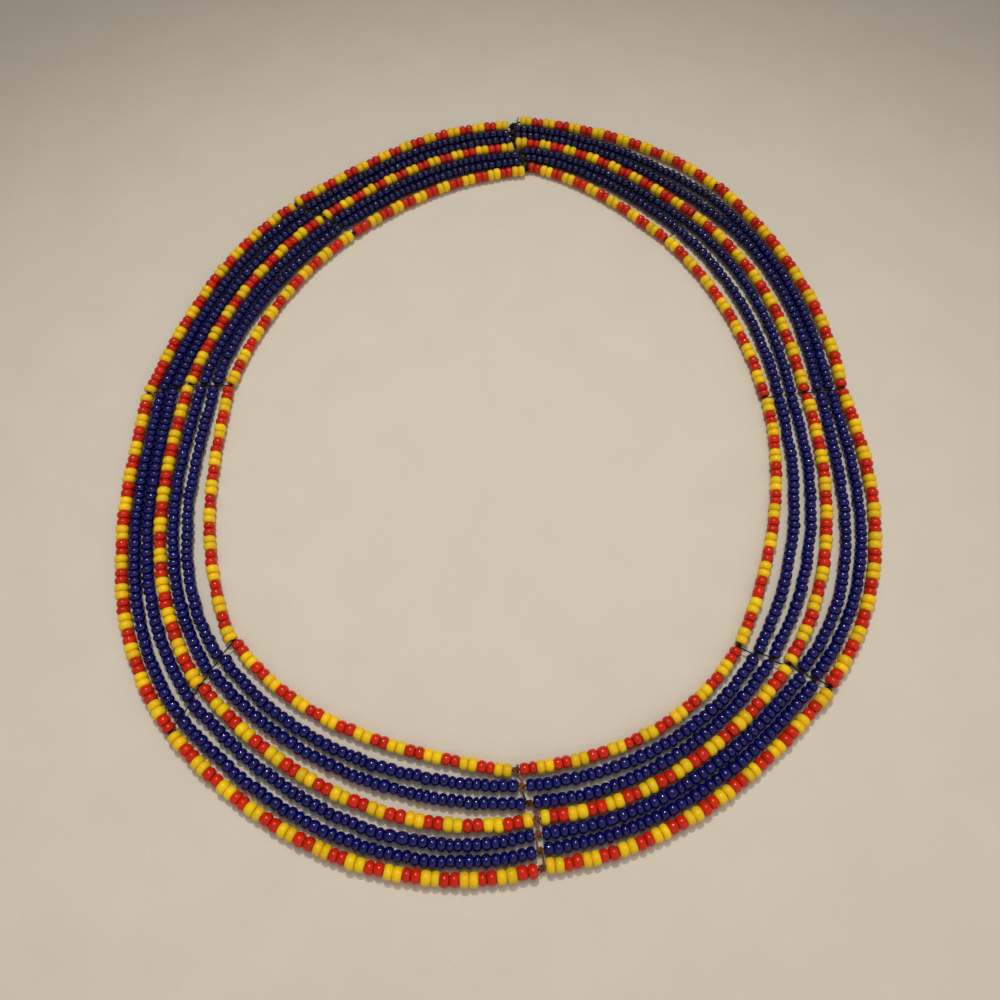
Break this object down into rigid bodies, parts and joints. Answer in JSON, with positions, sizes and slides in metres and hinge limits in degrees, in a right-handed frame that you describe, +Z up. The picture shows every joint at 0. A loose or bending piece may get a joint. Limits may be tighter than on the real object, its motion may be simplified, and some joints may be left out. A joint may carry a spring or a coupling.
{
  "type": "beaded neck collar",
  "caption": "Flat ring-shaped collar of red, yellow and blue bead strands, tied side by side by thread dividers, with an open neck hole.",
  "frame": {"origin": "middle of the collar's own box, on the surface that it lies on", "axes": "+Y from the wearer's front to the nape, +X to the right as seen from above, +Z up out of the surface"},
  "size_m": [0.19, 0.2176, 0.003],
  "materials": {
    "red_yellow_beads": "opaque glass seed beads, golden yellow and orange-red by turns, glossy",
    "blue_beads": "opaque glass seed beads, deep navy blue, glossy",
    "brown_thread": "two-ply waxed thread, reddish brown",
    "black_thread": "two-ply waxed thread, black"
  },
  "bodies": {
    "root": {"outer_strand": "red_yellow_beads", "blue_strand_1": "blue_beads", "blue_strand_2": "blue_beads", "middle_strand": "red_yellow_beads", "blue_strand_3": "blue_beads", "blue_strand_4": "blue_beads", "inner_strand": "red_yellow_beads", "front_divider": "brown_thread", "lower_right_divider": "black_thread", "right_divider": "black_thread", "upper_right_divider": "black_thread", "nape_join": "black_thread", "upper_left_divider": "black_thread", "left_divider": "black_thread", "lower_left_divider": "black_thread"}
  },
  "joints": []
}
